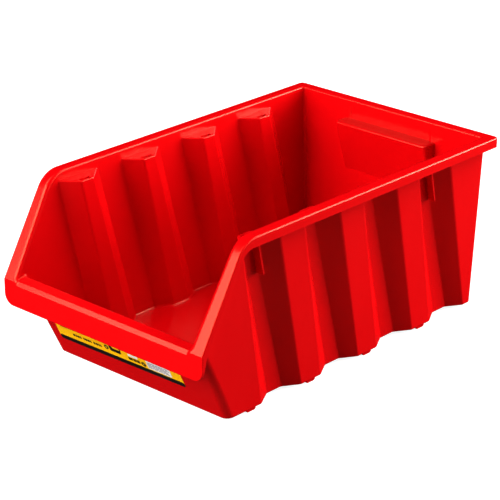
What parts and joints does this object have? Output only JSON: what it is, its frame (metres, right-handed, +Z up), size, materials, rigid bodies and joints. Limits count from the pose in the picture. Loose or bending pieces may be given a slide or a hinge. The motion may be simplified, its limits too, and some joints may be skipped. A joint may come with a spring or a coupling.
{
  "type": "stackable open-front storage bin",
  "caption": "Open-front stacking parts bin with sloped sides, turned-down rim, fluted side walls, inner stacking ledges, small feet and a printed film label on the front wall.",
  "frame": {"origin": "middle of the overall length and width, on the plane the feet rest on", "axes": "+Z up, +Y towards the rear wall, +X to the right seen from the open front"},
  "size_m": [0.206, 0.34, 0.146],
  "materials": {
    "red_pp": "moulded polypropylene, semi-gloss, fine tool texture",
    "label_film": "satin printed film, yellow field with a black lower band"
  },
  "bodies": {
    "root": {"bin_body": "red_pp", "front_label": "label_film"}
  },
  "joints": []
}
